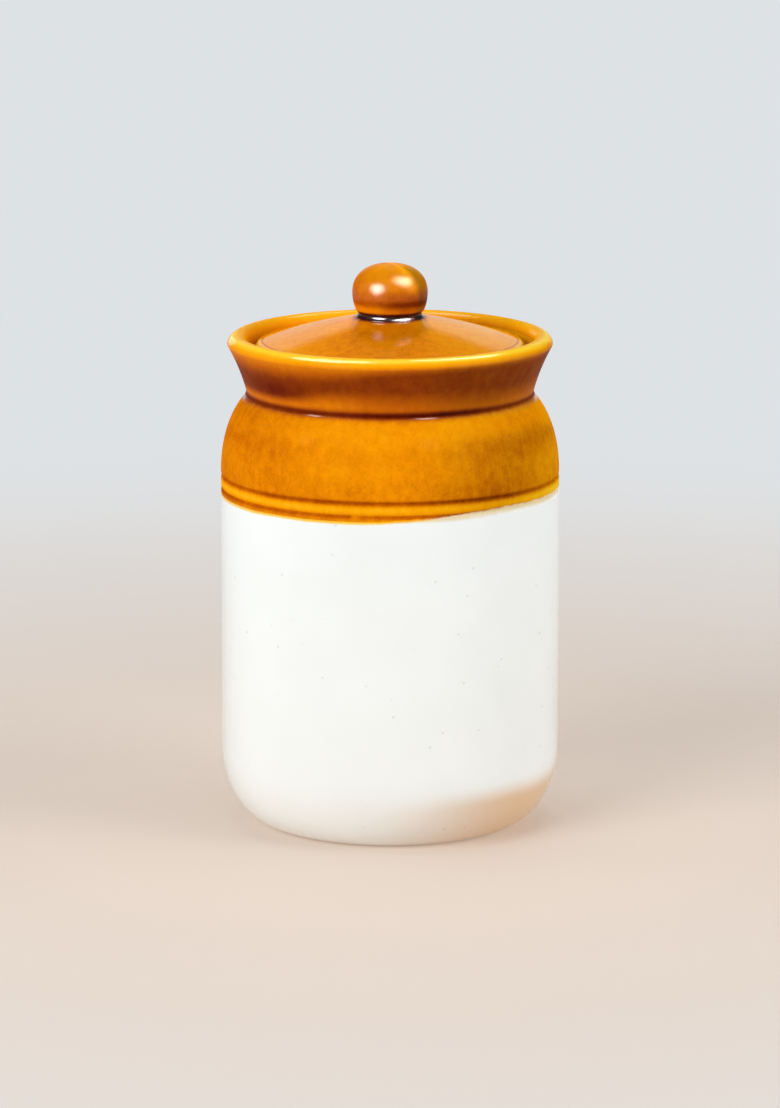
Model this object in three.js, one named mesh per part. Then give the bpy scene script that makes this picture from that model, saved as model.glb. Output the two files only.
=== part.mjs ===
// A stoneware pickle jar with a lift-off lid, as the clay pieces that are luted together before firing.
// Millimetres, +Z up. The origin is the centre of the foot, on the surface that the jar stands on.

import * as THREE from 'three';

// Driving dimensions of the lower body
const BODY_RADIUS = 70;
const LOWER_HEIGHT = 138.5;
const WALL = 6.5;
const FLOOR = 7;
const HEEL_REACH = 21;
const HEEL_RISE = 32;
const INNER_HEEL_REACH = 18.5;
const INNER_HEEL_RISE = 26;
const FOOT_WIDTH = 7;
const FOOT_RECESS = 2;

// Driving dimensions of the shoulder
const SHOULDER_HEIGHT = 40.8;
const SHOULDER_TURN = 63;
const INNER_SHOULDER_TURN = 76;
const FIRST_GROOVE = 2.05;
const GROOVE_PITCH = 5.55;
const GROOVE_WIDTH = 1.6;
const GROOVE_DEPTH = 0.6;
const GROOVE_COUNT = 2;

// Driving dimensions of the collar and the seat that it gives the lid
const THROAT_RADIUS = 51;
const NECK_WALL = 8;
const COLLAR_HEIGHT = 24.8;
const LIP_WIDTH = 7.9;
const LIP_CORNER_ROUND = 1.6;
const LIP_TOP_ROUND = 4.6;
const LIP_INNER_DROP = 3.9;
const LIP_CORNER_TURN = 18;
const FLARE_LEAN = 28;
const FLARE_HOLLOW = 0.75;
const SEAT_DEPTH = 7.7;
const SEAT_OVERLAP = 4.2;
const SEAT_FILLET = 0.8;
const LID_GUTTER = 4;

// Driving dimensions of the lid
const LID_RISE = 14.6;
const LID_THICKNESS = 6.5;
const LID_EDGE = 4.6;
const LID_EDGE_TURN = 72;
const LID_EDGE_BEVEL = 0.8;
const DOME_BULGE = 0.6;
const UNDERSIDE_BULGE = 1.5;
const FLANGE_DEPTH = 8;
const FLANGE_THICKNESS = 5;
const FLANGE_BEVEL = 1;
const FLANGE_CLEARANCE = 1.2;

// Driving dimensions of the knob
const KNOB_RADIUS = 15.5;
const KNOB_HEIGHT = 22.2;
const KNOB_EQUATOR = 10.2;
const KNOB_FULLNESS = 2.3;
const KNOB_BASE_RADIUS = 13.5;
const KNOB_LOWER_TURN = 40;
const NECK_HEIGHT = 3.4;
const NECK_HOLLOW = 0.7;
const KNOB_SEAT_MARGIN = 0.4;

// Facets round the axis of every piece
const AROUND = 56;

// Radii and heights that follow from the driving dimensions
const innerRadius = BODY_RADIUS - WALL;
const waistHeight = LOWER_HEIGHT + SHOULDER_HEIGHT;
const waistRadius = THROAT_RADIUS + NECK_WALL;
const lipTop = waistHeight + COLLAR_HEIGHT;
const seatHeight = lipTop - SEAT_DEPTH;
const lidRadius = THROAT_RADIUS + SEAT_OVERLAP;
const collarBore = lidRadius + LID_GUTTER;
const knobBase = seatHeight + LID_RISE;

const whiteGlaze = new THREE.MeshStandardMaterial({ color: 0xf5f4ef, roughness: 0.2, metalness: 0 });
const amberGlaze = new THREE.MeshStandardMaterial({ color: 0xe08c08, roughness: 0.15, metalness: 0 });
const darkAmberGlaze = new THREE.MeshStandardMaterial({ color: 0xc97206, roughness: 0.15, metalness: 0 });

// A point of a turned profile: its distance from the axis and its height.
function at(radius, height) {
  return new THREE.Vector2(radius, height);
}

// Points at even steps along a curve given as a function of 0 to 1.
function along(curve, steps) {
  return Array.from({ length: steps + 1 }, (_, i) => curve(i / steps));
}

// Part of an upright oval: it leaves its first point straight up or down and turns towards the axis.
function ovalArc(from, to, turnDegrees, steps) {
  const turn = THREE.MathUtils.degToRad(turnDegrees);
  const reach = (from.x - to.x) / (1 - Math.cos(turn));
  const rise = (to.y - from.y) / Math.sin(turn);
  return along((t) => at(from.x - reach * (1 - Math.cos(turn * t)), from.y + rise * Math.sin(turn * t)), steps);
}

// The top of an upright oval, from its widest point to the axis: a fullness of 2 is an ellipse, more is squarer.
function fullArc(from, to, fullness, steps) {
  const power = 2 / fullness;
  const curve = (t) => {
    const angle = (Math.PI / 2) * t;
    const across = Math.cos(angle) ** power;
    const up = Math.sin(angle) ** power;
    return at(THREE.MathUtils.lerp(to.x, from.x, across), THREE.MathUtils.lerp(from.y, to.y, up));
  };
  return along(curve, steps);
}

// Part of a circle, between two angles counted up from the outward direction.
function roundArc(centre, radius, fromDegrees, toDegrees, steps) {
  const polar = (t) => {
    const angle = THREE.MathUtils.degToRad(THREE.MathUtils.lerp(fromDegrees, toDegrees, t));
    return at(centre.x + radius * Math.cos(angle), centre.y + radius * Math.sin(angle));
  };
  return along(polar, steps);
}

// A line that bows out to its right-hand side by the given amount at its middle.
function bowedLine(from, to, bow, steps) {
  const side = at(to.y - from.y, from.x - to.x).normalize();
  const parabola = (t) => from.clone().lerp(to, t).addScaledVector(side, 4 * bow * t * (1 - t));
  return along(parabola, steps);
}

// One clay piece, turned about the Z axis from a profile that runs up its outside.
function turned(name, profile, material) {
  const geometry = new THREE.LatheGeometry(profile, AROUND);
  geometry.rotateX(Math.PI / 2);
  const piece = new THREE.Mesh(geometry, material);
  piece.name = name;
  return piece;
}

// The white lower body: a foot ring round a shallow recess, a wide heel and a straight wall.
function lowerBody() {
  const footOuter = BODY_RADIUS - HEEL_REACH;
  const footInner = footOuter - FOOT_WIDTH;
  const floorTop = FOOT_RECESS + FLOOR;
  const heel = ovalArc(at(BODY_RADIUS, HEEL_RISE), at(footOuter, 0), 90, 9).reverse();
  const innerHeelTop = at(innerRadius, floorTop + INNER_HEEL_RISE);
  const innerHeel = ovalArc(innerHeelTop, at(innerRadius - INNER_HEEL_REACH, floorTop), 90, 7);
  const profile = [
    at(0, FOOT_RECESS),
    at(footInner - FOOT_RECESS, FOOT_RECESS),
    at(footInner, 0),
    ...heel,
    at(BODY_RADIUS, LOWER_HEIGHT),
    at(innerRadius, LOWER_HEIGHT),
    ...innerHeel,
    at(0, floorTop),
  ];
  return turned('lower_body', profile, whiteGlaze);
}

// One turned groove round the outside of the shoulder, from its lower edge to its upper edge.
function groove(height) {
  return [
    at(BODY_RADIUS, height - GROOVE_WIDTH / 2),
    at(BODY_RADIUS - GROOVE_DEPTH, height),
    at(BODY_RADIUS, height + GROOVE_WIDTH / 2),
  ];
}

// The amber shoulder: a ring that stands on the lower body and draws in to the waist.
function shoulder() {
  const grooveHeights = Array.from({ length: GROOVE_COUNT }, (_, i) => LOWER_HEIGHT + FIRST_GROOVE + i * GROOVE_PITCH);
  const curveStart = grooveHeights.at(-1) + GROOVE_WIDTH;
  const outside = ovalArc(at(BODY_RADIUS, curveStart), at(waistRadius, waistHeight), SHOULDER_TURN, 9);
  const inside = ovalArc(at(innerRadius, curveStart), at(THROAT_RADIUS, waistHeight), INNER_SHOULDER_TURN, 8).reverse();
  const start = at(BODY_RADIUS, LOWER_HEIGHT);
  const profile = [
    start,
    ...grooveHeights.flatMap(groove),
    ...outside,
    ...inside,
    at(innerRadius, LOWER_HEIGHT),
    start.clone(),
  ];
  return turned('shoulder', profile, amberGlaze);
}

// The lip, from the top of the flare over its crest to the top of the bore: a tight outer corner runs into a
// wider arc, and an upright oval falls away inside.
function lipOutline() {
  const cornerTurn = THREE.MathUtils.degToRad(LIP_CORNER_TURN);
  const roundsApart = LIP_TOP_ROUND - LIP_CORNER_ROUND;
  const cornerRadius = collarBore + LIP_WIDTH - LIP_CORNER_ROUND;
  const topCentre = at(cornerRadius - roundsApart * Math.cos(cornerTurn), lipTop - LIP_TOP_ROUND);
  const cornerCentre = at(cornerRadius, topCentre.y + roundsApart * Math.sin(cornerTurn));
  const corner = roundArc(cornerCentre, LIP_CORNER_ROUND, -FLARE_LEAN, LIP_CORNER_TURN, 3);
  const top = roundArc(topCentre, LIP_TOP_ROUND, LIP_CORNER_TURN, 90, 5);
  const inside = ovalArc(at(collarBore, lipTop - LIP_INNER_DROP), top.at(-1), 90, 5).reverse();
  return [...corner, ...top.slice(1), ...inside.slice(1)];
}

// The flared collar: a lip tops it, and a step inside the lip makes the bore and the lid's seat.
function collar() {
  const lip = lipOutline();
  const flare = bowedLine(at(waistRadius, waistHeight), lip[0], -FLARE_HOLLOW, 5);
  const profile = [
    ...flare.slice(0, -1),
    ...lip,
    at(collarBore, seatHeight + SEAT_FILLET),
    at(collarBore - SEAT_FILLET, seatHeight),
    at(THROAT_RADIUS + SEAT_FILLET, seatHeight),
    at(THROAT_RADIUS, seatHeight - SEAT_FILLET),
    at(THROAT_RADIUS, waistHeight),
    flare[0].clone(),
  ];
  return turned('collar', profile, amberGlaze);
}

// The lid: a shallow dome with a round edge, a flat bearing face and a flange that hangs in the throat.
function lid() {
  const edgeRound = LID_EDGE / 2;
  const edgeCentre = at(lidRadius - edgeRound, seatHeight + edgeRound);
  const edge = roundArc(edgeCentre, edgeRound, 0, LID_EDGE_TURN, 4);
  const top = at(KNOB_BASE_RADIUS + KNOB_SEAT_MARGIN, knobBase);
  const dome = bowedLine(edge.at(-1), top, DOME_BULGE, 5);
  const flangeOuter = THROAT_RADIUS - FLANGE_CLEARANCE;
  const flangeInner = flangeOuter - FLANGE_THICKNESS;
  const flangeBottom = seatHeight - FLANGE_DEPTH;
  const underside = bowedLine(at(0, knobBase - LID_THICKNESS), at(flangeInner, seatHeight), -UNDERSIDE_BULGE, 6);
  const profile = [
    ...underside,
    at(flangeInner, flangeBottom + FLANGE_BEVEL),
    at(flangeInner + FLANGE_BEVEL, flangeBottom),
    at(flangeOuter - FLANGE_BEVEL, flangeBottom),
    at(flangeOuter, flangeBottom + FLANGE_BEVEL),
    at(flangeOuter, seatHeight),
    at(lidRadius - LID_EDGE_BEVEL, seatHeight),
    at(lidRadius, seatHeight + LID_EDGE_BEVEL),
    ...edge,
    ...dome.slice(1),
    at(0, knobBase),
  ];
  return turned('lid', profile, amberGlaze);
}

// The knob: a squat ball on a drawn-in neck, with a flat base luted to the top of the lid.
function lidKnob() {
  const equator = at(KNOB_RADIUS, knobBase + KNOB_EQUATOR);
  const neckTop = at(KNOB_BASE_RADIUS, knobBase + NECK_HEIGHT);
  const neck = bowedLine(at(KNOB_BASE_RADIUS, knobBase), neckTop, -NECK_HOLLOW, 4);
  const lowerBall = ovalArc(equator, neckTop, KNOB_LOWER_TURN, 5).reverse();
  const upperBall = fullArc(equator, at(0, knobBase + KNOB_HEIGHT), KNOB_FULLNESS, 10);
  const profile = [at(0, knobBase), ...neck, ...lowerBall.slice(1), ...upperBall.slice(1)];
  return turned('lid_knob', profile, darkAmberGlaze);
}

const pickleJar = new THREE.Group();
pickleJar.add(lowerBody(), shoulder(), collar(), lid(), lidKnob());

export default pickleJar;
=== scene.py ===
"""Dresses the stoneware pickle jar in its two glazes and stands it in a plain studio.

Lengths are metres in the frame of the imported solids: +Z up, the photographed side towards -Y.
Heights and radii that the solids' boxes give are read from the frame; the rest are named here.
Turns are degrees round the axis, from the front towards the right. Thicknesses of glaze, shares
and the marks along an outline run from 0 to 1.
"""

import math

import bpy
import numpy as np
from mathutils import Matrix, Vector


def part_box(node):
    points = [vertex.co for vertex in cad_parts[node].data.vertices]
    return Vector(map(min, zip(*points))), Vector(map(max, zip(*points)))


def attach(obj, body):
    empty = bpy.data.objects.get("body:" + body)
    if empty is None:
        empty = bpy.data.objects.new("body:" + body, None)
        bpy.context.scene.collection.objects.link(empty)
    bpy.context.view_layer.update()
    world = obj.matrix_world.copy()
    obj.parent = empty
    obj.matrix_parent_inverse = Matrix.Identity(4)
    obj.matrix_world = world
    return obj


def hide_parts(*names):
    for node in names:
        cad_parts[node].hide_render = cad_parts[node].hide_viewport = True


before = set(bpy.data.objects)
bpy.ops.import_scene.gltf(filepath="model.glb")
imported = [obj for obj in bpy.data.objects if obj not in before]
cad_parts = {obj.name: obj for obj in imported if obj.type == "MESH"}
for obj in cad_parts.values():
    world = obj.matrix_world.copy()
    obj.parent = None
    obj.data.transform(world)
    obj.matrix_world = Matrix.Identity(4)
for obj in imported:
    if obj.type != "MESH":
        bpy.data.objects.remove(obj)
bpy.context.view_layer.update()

MM = 0.001

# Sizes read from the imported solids
BODY_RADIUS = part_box("lower_body")[1].x
SEAM_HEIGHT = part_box("lower_body")[1].z
WAIST_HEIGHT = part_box("shoulder")[1].z
LIP_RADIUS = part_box("collar")[1].x
LIP_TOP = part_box("collar")[1].z
LID_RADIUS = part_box("lid")[1].x
FLANGE_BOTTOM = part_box("lid")[0].z
KNOB_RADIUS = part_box("lid_knob")[1].x
KNOB_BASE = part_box("lid_knob")[0].z
KNOB_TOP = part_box("lid_knob")[1].z

# The lower body's foot, heel and wall
WALL = 6.5 * MM
INNER_RADIUS = BODY_RADIUS - WALL
FLOOR_TOP = 9.0 * MM
HEEL_REACH = 21.0 * MM
HEEL_RISE = 32.0 * MM
INNER_HEEL_REACH = 18.5 * MM
INNER_HEEL_RISE = 26.0 * MM
FOOT_WIDTH = 7.0 * MM
FOOT_RECESS = 2.0 * MM
FOOT_GLAZE_LINE = (0.25 * MM, 0.6 * MM)
WOBBLE = 0.10 * MM

# Painted warm reflection of the floor and painted shade low on the heel: faint on the left, strong and
# higher on the right
FLASH_TOP = 24.0 * MM
FLASH_FADE = 10.0 * MM
FLASH_LIFT = 4.5 * MM
FLASH_WAVE = 0.8 * MM
FLASH_RISE_TURNS = (-12.0, 55.0)
FLASH_FALL_TURNS = (80.0, 140.0)
FLASH_FAINT = 0.03
FLASH_GAIN = 0.75

# The shoulder's curve, and its grooves as heights above the seam
WAIST_RADIUS = 59.0 * MM
SHOULDER_TURN = 63.0
INNER_SHOULDER_TURN = 76.0
SHOULDER_START = 9.2 * MM
GROOVED_ROWS_PAST = 1.0 * MM
GROOVE_HEIGHTS = (2.05 * MM, 7.60 * MM)
GROOVE_DEPTH = 0.60 * MM
GROOVE_SPREAD = 0.62 * MM
GROOVE_POOL_SPREADS = (0.85 * MM, 1.15 * MM)
GROOVE_POOL_SAG = 0.2 * MM
GROOVE_RIDGE_SPREAD = 1.9 * MM
GROOVE_BRIDGE_TURN = -11.5
GROOVE_BRIDGE_SPREAD = 0.9
GROOVE_BRIDGE_FILL = 0.85
GROOVE_BRIDGE_THINNING = 1.3

# The crease at the waist, where glaze fills the corner and lies wet
CREASE_ROUND = 1.5 * MM
CREASE_REACH = 4.0 * MM
CREASE_FINE_ROWS = 5.0 * MM
CREASE_POOL_LIFT = 0.7 * MM
SHOULDER_POOL_SPREAD = 1.6 * MM
FLARE_POOL_SPREAD = 1.5 * MM
WET_START_BELOW = 2.5 * MM
WET_FULL_BELOW = 1.0 * MM

# The collar's flare, lip, bore and seat
THROAT_RADIUS = 51.0 * MM
FLARE_HOLLOW = 0.80 * MM
LIP_WIDTH = 7.9 * MM
LIP_INNER_RISE = 3.9 * MM
LIP_CORNER_ROUND = 1.6 * MM
LIP_TOP_ROUND = 4.6 * MM
LIP_ROW_GAP = 0.3 * MM
LIP_TURNS = (-28.0, 18.0, 90.0)
LIP_THIN_TURN = 62.0
LIP_THIN_SPREAD = 28.0
SEAT_DEPTH = 7.7 * MM
SEAT_FILLET = 1.2 * MM
SEAT_BARE = 0.6

# The lid's edge, dome and flange
LID_EDGE_ROUND = 2.3 * MM
LID_EDGE_TURN = 72.0
LID_GLAZE_LINE = (0.4 * MM, 0.9 * MM)
LID_THICKNESS = 6.5 * MM
DOME_BULGE = 0.6 * MM
DOME_GATHER = 1.8
DOME_EDGE_SPREAD = 2.5 * MM
LID_LINE_INSET = 2.6 * MM
LID_LINE_SPREAD = 0.35 * MM
NECK_RING_SPREAD = 1.2 * MM
UNDERSIDE_BULGE = 1.5 * MM
FLANGE_RADIUS = 49.8 * MM
FLANGE_THICKNESS = 5.0 * MM
FLANGE_ROUND = 1.2 * MM
SEATING_GAP = 0.08 * MM

# The knob's neck and ball; its glaze bands lie above the neck's top and about the equator, and the
# ball is darker below and lighter above, partly painted light from above
KNOB_SEATING_GAP = 0.02 * MM
KNOB_EQUATOR = 10.2 * MM
KNOB_FULLNESS = 2.3
KNOB_NECK_RADIUS = 14.0 * MM
KNOB_FOOT_RADIUS = 14.2 * MM
KNOB_NECK_HEIGHT = 3.1 * MM
KNOB_NECK_HOLLOW = 0.95 * MM
KNOB_LOWER_TURN = 40.0
NECK_RIM_HEIGHT = 0.7 * MM
BELLY_HEIGHT = 3.9 * MM
BELLY_SPREAD = 1.7 * MM
BELLY_RIM_HEIGHT = 0.8 * MM
BELLY_RIM_SPREAD = 1.4 * MM
KNOB_THINNING_HEIGHTS = (-0.5 * MM, 4.5 * MM)
KNOB_TOP_THINNING_START = 3.0 * MM

# Thickness of the glaze along the outlines of the jar, before it drifts
INSIDE_COAT = 0.40
WALL_COAT = 0.45
SHOULDER_COAT = 0.58
SHOULDER_THINNING = 0.07
SHOULDER_THINNING_MARGIN = 8.0 * MM
SHOULDER_CREASE_COAT = 0.41
FLARE_COAT = 0.56
FLARE_CREASE_COAT = 0.32
LIP_COAT = 0.46
LIP_THINNING = 0.29
LIP_INNER_COATS = (0.30, 0.38)
BORE_COATS = (0.36, 0.44)
SEAT_CORNER_COAT = 0.50
SEAT_COAT = 0.42
THROAT_EDGE_COAT = 0.30
THROAT_COAT = 0.45

# Thickness of the glaze along the outlines of the lid and its knob, before it drifts
UNDERSIDE_COAT = 0.42
FLANGE_COAT = 0.30
LID_EDGE_COAT = 0.34
DOME_COAT = 0.55
DOME_EDGE_THINNING = 0.12
LID_LINE_COAT = 0.27
NECK_RING_COAT = 0.30
LID_FLAT_COAT = 0.50
KNOB_BASE_COAT = 0.90
NECK_COAT = 1.00
NECK_RIM_THINNING = 0.25
KNOB_COAT = 0.65
# Thicker glaze and painted shade low on the ball, thinner glaze and painted light high on it
BELLY_COAT = 0.14
BELLY_RIM_THINNING = 0.08
KNOB_THINNING = 0.11
KNOB_TOP_THINNING = 0.07

# How much thicker or thinner the glaze gets where it drifts; parts of it are painted shade, light and
# reflection, where marked
GROOVE_COATS = (0.14, 0.23)
GROOVE_SIDE_EASING = 0.10
RIDGE_THINNING = 0.18
RIDGE_SIDE_THINNING = 0.09
SHOULDER_WAVE = 0.06
SHOULDER_RING = 0.04
FLANK_THINNING = 0.08
# Thick glaze and painted shade on the flare's belly
FLARE_BELLY = 0.25
FLARE_RUN = 0.10
CREASE_EASING = 0.17
BAND_EASING = 0.08
# Painted reflection of the backdrop on the lid's left and right, as paler amber
LID_SIDE_THINNING = 0.10
KNOB_LEFT_THINNING = 0.13
KNOB_STREAK_THINNING = 0.13
KNOB_EDGE_COAT = 0.06
# Painted shade low on the knob's right
KNOB_RIGHT_COAT = 0.07

# Where the glaze drifts: below the waist and the lip's top, or above the seam
WAIST_FADE = 3.0 * MM
CLEAR_BAND_BELOW = (13.0 * MM, 4.0 * MM)
SHOULDER_RING_BELOW = 14.0 * MM
SHOULDER_RING_SPREAD = 4.5 * MM
FLANK_FADE_ABOVE = (14.0 * MM, 30.0 * MM)
CREASE_EASING_SPREAD = 2.5 * MM
LIP_CLEARING_BELOW = (4.0 * MM, 1.5 * MM)

# Weight of the clear coat on the amber, which shines most in the creases and on the lid
SHOULDER_SHINE = 0.01
CREASE_SHINE = 0.9
FLARE_SHINE = 0.10
LIP_SHINE = 0.27
LID_SHINE = 0.55
KNOB_SHINE = 0.25
NECK_SHINE = 1.0

# The lower edge of the amber dip: it swings up on the right, with a thin wash below it
DIP_HEIGHT = 139.8 * MM
DIP_SWING = 1.95 * MM
DIP_STEEPNESS = 3.2
DIP_MIDDLE = math.radians(15.0)
INNER_DIP_HEIGHT = 186.0 * MM
WASH_DEPTHS = (0.9 * MM, 3.3 * MM)
WASH_RISE_TURNS = (2.0, 30.0)
WASH_FALL_TURNS = (105.0, 150.0)

# Painted shade on the right of the jar, the lid and the knob
JAR_SMOKE_SHARE = 0.40
LIP_CLEARING = 0.27
BAND_CLEARING = 0.30
LID_SMOKE_SHARE = 0.15
KNOB_SMOKE_SHARE = 0.9
KNOB_SMOKE_RISE_TURNS = (41.0, 55.0)
KNOB_SMOKE_FALL_TURNS = (95.0, 160.0)

# Columns round every turned piece, and how close the rows beside a hard corner stand to it
AROUND = 240
CORNER_MARGIN = 0.03 * MM
ANGLES = np.arange(AROUND) * (2 * math.pi / AROUND)
TURNS = np.degrees(np.arctan2(np.sin(ANGLES), np.cos(ANGLES)))

# Camera: picture in pixels of the photograph, sensor in millimetres, place in metres
IMAGE_HEIGHT = 1108
FOCAL_PIXELS = 5968
SENSOR_SIZE = 36.0
CAMERA_DISTANCE = 2.472
CAMERA_ELEVATION = math.radians(11.54)
CAMERA_AIM = Vector((0.0, 0.0, 0.1115))


def smooth_step(value, low, high):
    """0 below low, 1 above high, and the cubic 3t^2 - 2t^3 between them."""
    t = np.clip((value - low) / (high - low), 0.0, 1.0)
    return t * t * (3.0 - 2.0 * t)


def pool(value, centre, spread):
    """A bell curve, 1 at the centre and 1/e one spread away."""
    return np.exp(-(((value - centre) / spread) ** 2))


def turn_window(rise, fall):
    """Round the axis: 0 to 1 between the two turns of the rise, 1 to 0 between those of the fall."""
    return smooth_step(TURNS, *rise) * (1.0 - smooth_step(TURNS, *fall))


# Stretches of a turned outline, as rows of radius and height


def straight(start, end, count=2):
    """Evenly spaced points of a line, and one close beside each end to keep its corners crisp."""
    start, end = np.array(start), np.array(end)
    margin = CORNER_MARGIN / np.hypot(*(end - start))
    t = np.concatenate([[0.0, margin], np.linspace(0.0, 1.0, count + 1)[1:-1], [1.0 - margin, 1.0]])
    return start + t[:, None] * (end - start)


def round_arc(centre, radius, first, last, count):
    """Part of a circle between two angles, in degrees up from the outward direction."""
    angle = np.radians(np.linspace(first, last, count))
    return np.column_stack([centre[0] + radius * np.cos(angle), centre[1] + radius * np.sin(angle)])


def oval_arc(start, end, turn, count):
    """Part of an upright oval, with a from 0 to turn degrees.

    Radius = start - reach (1 - cos a), and height = start + rise sin a.
    """
    angle = np.radians(np.linspace(0.0, turn, count))
    reach = (start[0] - end[0]) / (1.0 - np.cos(angle[-1]))
    rise = (end[1] - start[1]) / np.sin(angle[-1])
    radius = start[0] - reach * (1.0 - np.cos(angle))
    return np.column_stack([radius, start[1] + rise * np.sin(angle)])


def full_arc(start, end, fullness, count):
    """The top of an upright oval: cos a and sin a to the power 2 / fullness, where 2 is an ellipse."""
    angle = np.linspace(0.0, math.pi / 2.0, count)
    across = np.clip(np.cos(angle), 0.0, 1.0) ** (2.0 / fullness)
    up = np.sin(angle) ** (2.0 / fullness)
    radius = end[0] + (start[0] - end[0]) * across
    return np.column_stack([radius, start[1] + (end[1] - start[1]) * up])


def bowed(start, end, bow, count, gather=1.0):
    """A line pushed out to its right by a parabola that is bow high.

    A gather above 1 draws the points towards the start.
    """
    start, end = np.array(start), np.array(end)
    t = np.linspace(0.0, 1.0, count)[:, None] ** gather
    side = np.array([end[1] - start[1], start[0] - end[0]]) / np.hypot(*(end - start))
    return start + t * (end - start) + 4.0 * bow * t * (1.0 - t) * side


class Outline:
    """The outline of a turned piece, outside upwards: its points, and what the glaze does at each."""

    COLUMNS = ("radius", "height", "coat", "inner", "bare", "shine")
    SMALLEST_STEP = 1e-8

    def __init__(self):
        self.stretches = []

    def add(self, points, coat, inner=0.0, bare=0.0, shine=0.0):
        """Adds a stretch with its glaze thickness, inside mark, bare clay and clear coat."""
        marks = [np.broadcast_to(mark, len(points)) for mark in (coat, inner, bare, shine)]
        self.stretches.append(np.column_stack([points, *marks]))

    def columns(self):
        """Each column as one value per row, with the rows that repeat the one before left out."""
        rows = np.vstack(self.stretches)
        step = np.hypot(*np.diff(rows[:, :2], axis=0).T)
        rows = rows[np.concatenate([[True], step > self.SMALLEST_STEP])]
        return {name: rows[:, [i]] for i, name in enumerate(self.COLUMNS)}


def turned_mesh(name, radius, height, layers, closed=False):
    """A surface turned about Z.

    Row i, column j lies at (r sin a, -r cos a, h) with a the angle of column j. A row of radius 0
    is one point, a pole. A closed surface also joins its last row to its first. Each layer is a
    grid of the same form, kept as a point attribute.
    """
    across, back = radius * np.sin(ANGLES), -radius * np.cos(ANGLES)
    grid = np.stack([across, back, height + 0.0 * ANGLES], axis=-1)
    poles = np.isclose(radius, 0.0).all(axis=1)
    kept = np.ones(grid.shape[:2], bool)
    kept[poles, 1:] = False
    number = np.cumsum(kept).reshape(kept.shape) - 1
    number[poles] = number[poles, :1]
    rows = np.vstack([number, number[:1]]) if closed else number
    low, high = rows[:-1], rows[1:]
    ring = [low, np.roll(low, -1, axis=1), np.roll(high, -1, axis=1), high]
    corners = np.stack(ring, axis=-1).reshape(-1, 4)
    repeated = corners == np.roll(corners, 1, axis=1)
    at_pole = repeated.any(axis=1)
    fans = corners[at_pole][~repeated[at_pole]].reshape(-1, 3)
    mesh = bpy.data.meshes.new(name)
    mesh.from_pydata(grid[kept].tolist(), [], corners[~at_pole].tolist() + fans.tolist())
    mesh.shade_smooth()
    for layer, values in layers.items():
        attribute = mesh.attributes.new(layer, "FLOAT", "POINT")
        at_points = np.broadcast_to(values, kept.shape)[kept]
        attribute.data.foreach_set("value", at_points.astype(np.float32))
    piece = bpy.data.objects.new(name, mesh)
    bpy.context.scene.collection.objects.link(piece)
    return piece


# Wobble of the clay, and where the glaze runs, pools and is smoked


def thrown_wobble(height):
    """How far the clay stands back from true round: slow and quick waves that drift with height."""
    slow = 0.6 * np.sin(2.0 * ANGLES + 14.0 * height)
    slow = slow + 0.4 * np.sin(3.0 * ANGLES - 23.0 * height + 1.1)
    quick = 0.25 * np.sin(11.0 * ANGLES + 31.0 * height)
    quick = quick + 0.15 * np.sin(17.0 * ANGLES - 57.0 * height)
    largest_sum = 1.4
    return WOBBLE * (slow + quick - largest_sum)


def dip_edge():
    """Height of the amber's lower edge round the jar: a sine flattened by tanh, with two ripples."""
    swing = np.tanh(DIP_STEEPNESS * np.sin(ANGLES - DIP_MIDDLE)) / math.tanh(DIP_STEEPNESS)
    ripple = 0.10 * np.sin(9.0 * ANGLES + 1.0) + 0.07 * np.sin(16.0 * ANGLES + 0.4)
    return DIP_HEIGHT + DIP_SWING * swing + ripple * MM


def wash_depth():
    """How far a thin wash of glaze runs below the amber's edge: further on the right."""
    shallow, deep = WASH_DEPTHS
    return shallow + (deep - shallow) * turn_window(WASH_RISE_TURNS, WASH_FALL_TURNS)


def heel_flash(height):
    """How much painted warm reflection of the floor and painted shade lies low on the heel."""
    right = turn_window(FLASH_RISE_TURNS, FLASH_FALL_TURNS)
    top = FLASH_TOP + FLASH_LIFT * right + FLASH_WAVE * np.sin(4.0 * ANGLES + 0.6)
    return (1.0 - smooth_step(height, top - FLASH_FADE, top)) * (FLASH_FAINT + FLASH_GAIN * right)


def right_side(low, high):
    """Round the axis: up to 1 on the right of the photographed side, and 0 on its left."""
    return smooth_step(np.sin(ANGLES), low, high)


def groove_bridge():
    """1 where a run of glaze has filled the lower groove, 0 elsewhere."""
    return pool(TURNS, GROOVE_BRIDGE_TURN, GROOVE_BRIDGE_SPREAD)


def groove_cut(height):
    """How far the two grooves are cut: soft rings, the lower one filled at the bridge."""
    lower, upper = (pool(height, SEAM_HEIGHT + rise, GROOVE_SPREAD) for rise in GROOVE_HEIGHTS)
    return lower * (1.0 - GROOVE_BRIDGE_FILL * groove_bridge()) + upper


def groove_glaze(height):
    """Glaze that is thick in the grooves and thin on the ridge between them, most so side-on."""
    side_on = np.sin(ANGLES) ** 2
    sagged = height - SEAM_HEIGHT + GROOVE_POOL_SAG
    bands = zip(GROOVE_HEIGHTS, GROOVE_POOL_SPREADS)
    lower, upper = (pool(sagged, rise, spread) for rise, spread in bands)
    lower_coat = GROOVE_COATS[0] * (1.0 - GROOVE_BRIDGE_THINNING * groove_bridge())
    upper_coat = GROOVE_COATS[1] - GROOVE_SIDE_EASING * side_on
    ridge = pool(height, SEAM_HEIGHT + sum(GROOVE_HEIGHTS) / 2.0, GROOVE_RIDGE_SPREAD)
    thinning = RIDGE_THINNING + RIDGE_SIDE_THINNING * side_on
    return lower_coat * lower + upper_coat * upper - thinning * ridge


def below_waist(height):
    """1 on the shoulder and further down, fading to 0 close below the waist."""
    return 1.0 - smooth_step(height, WAIST_HEIGHT - WAIST_FADE, WAIST_HEIGHT)


def clear_band(height):
    """1 on the band just below the waist, where the glaze is clear, and 0 elsewhere."""
    start, full = (WAIST_HEIGHT - below for below in CLEAR_BAND_BELOW)
    return below_waist(height) * smooth_step(height, start, full)


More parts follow.
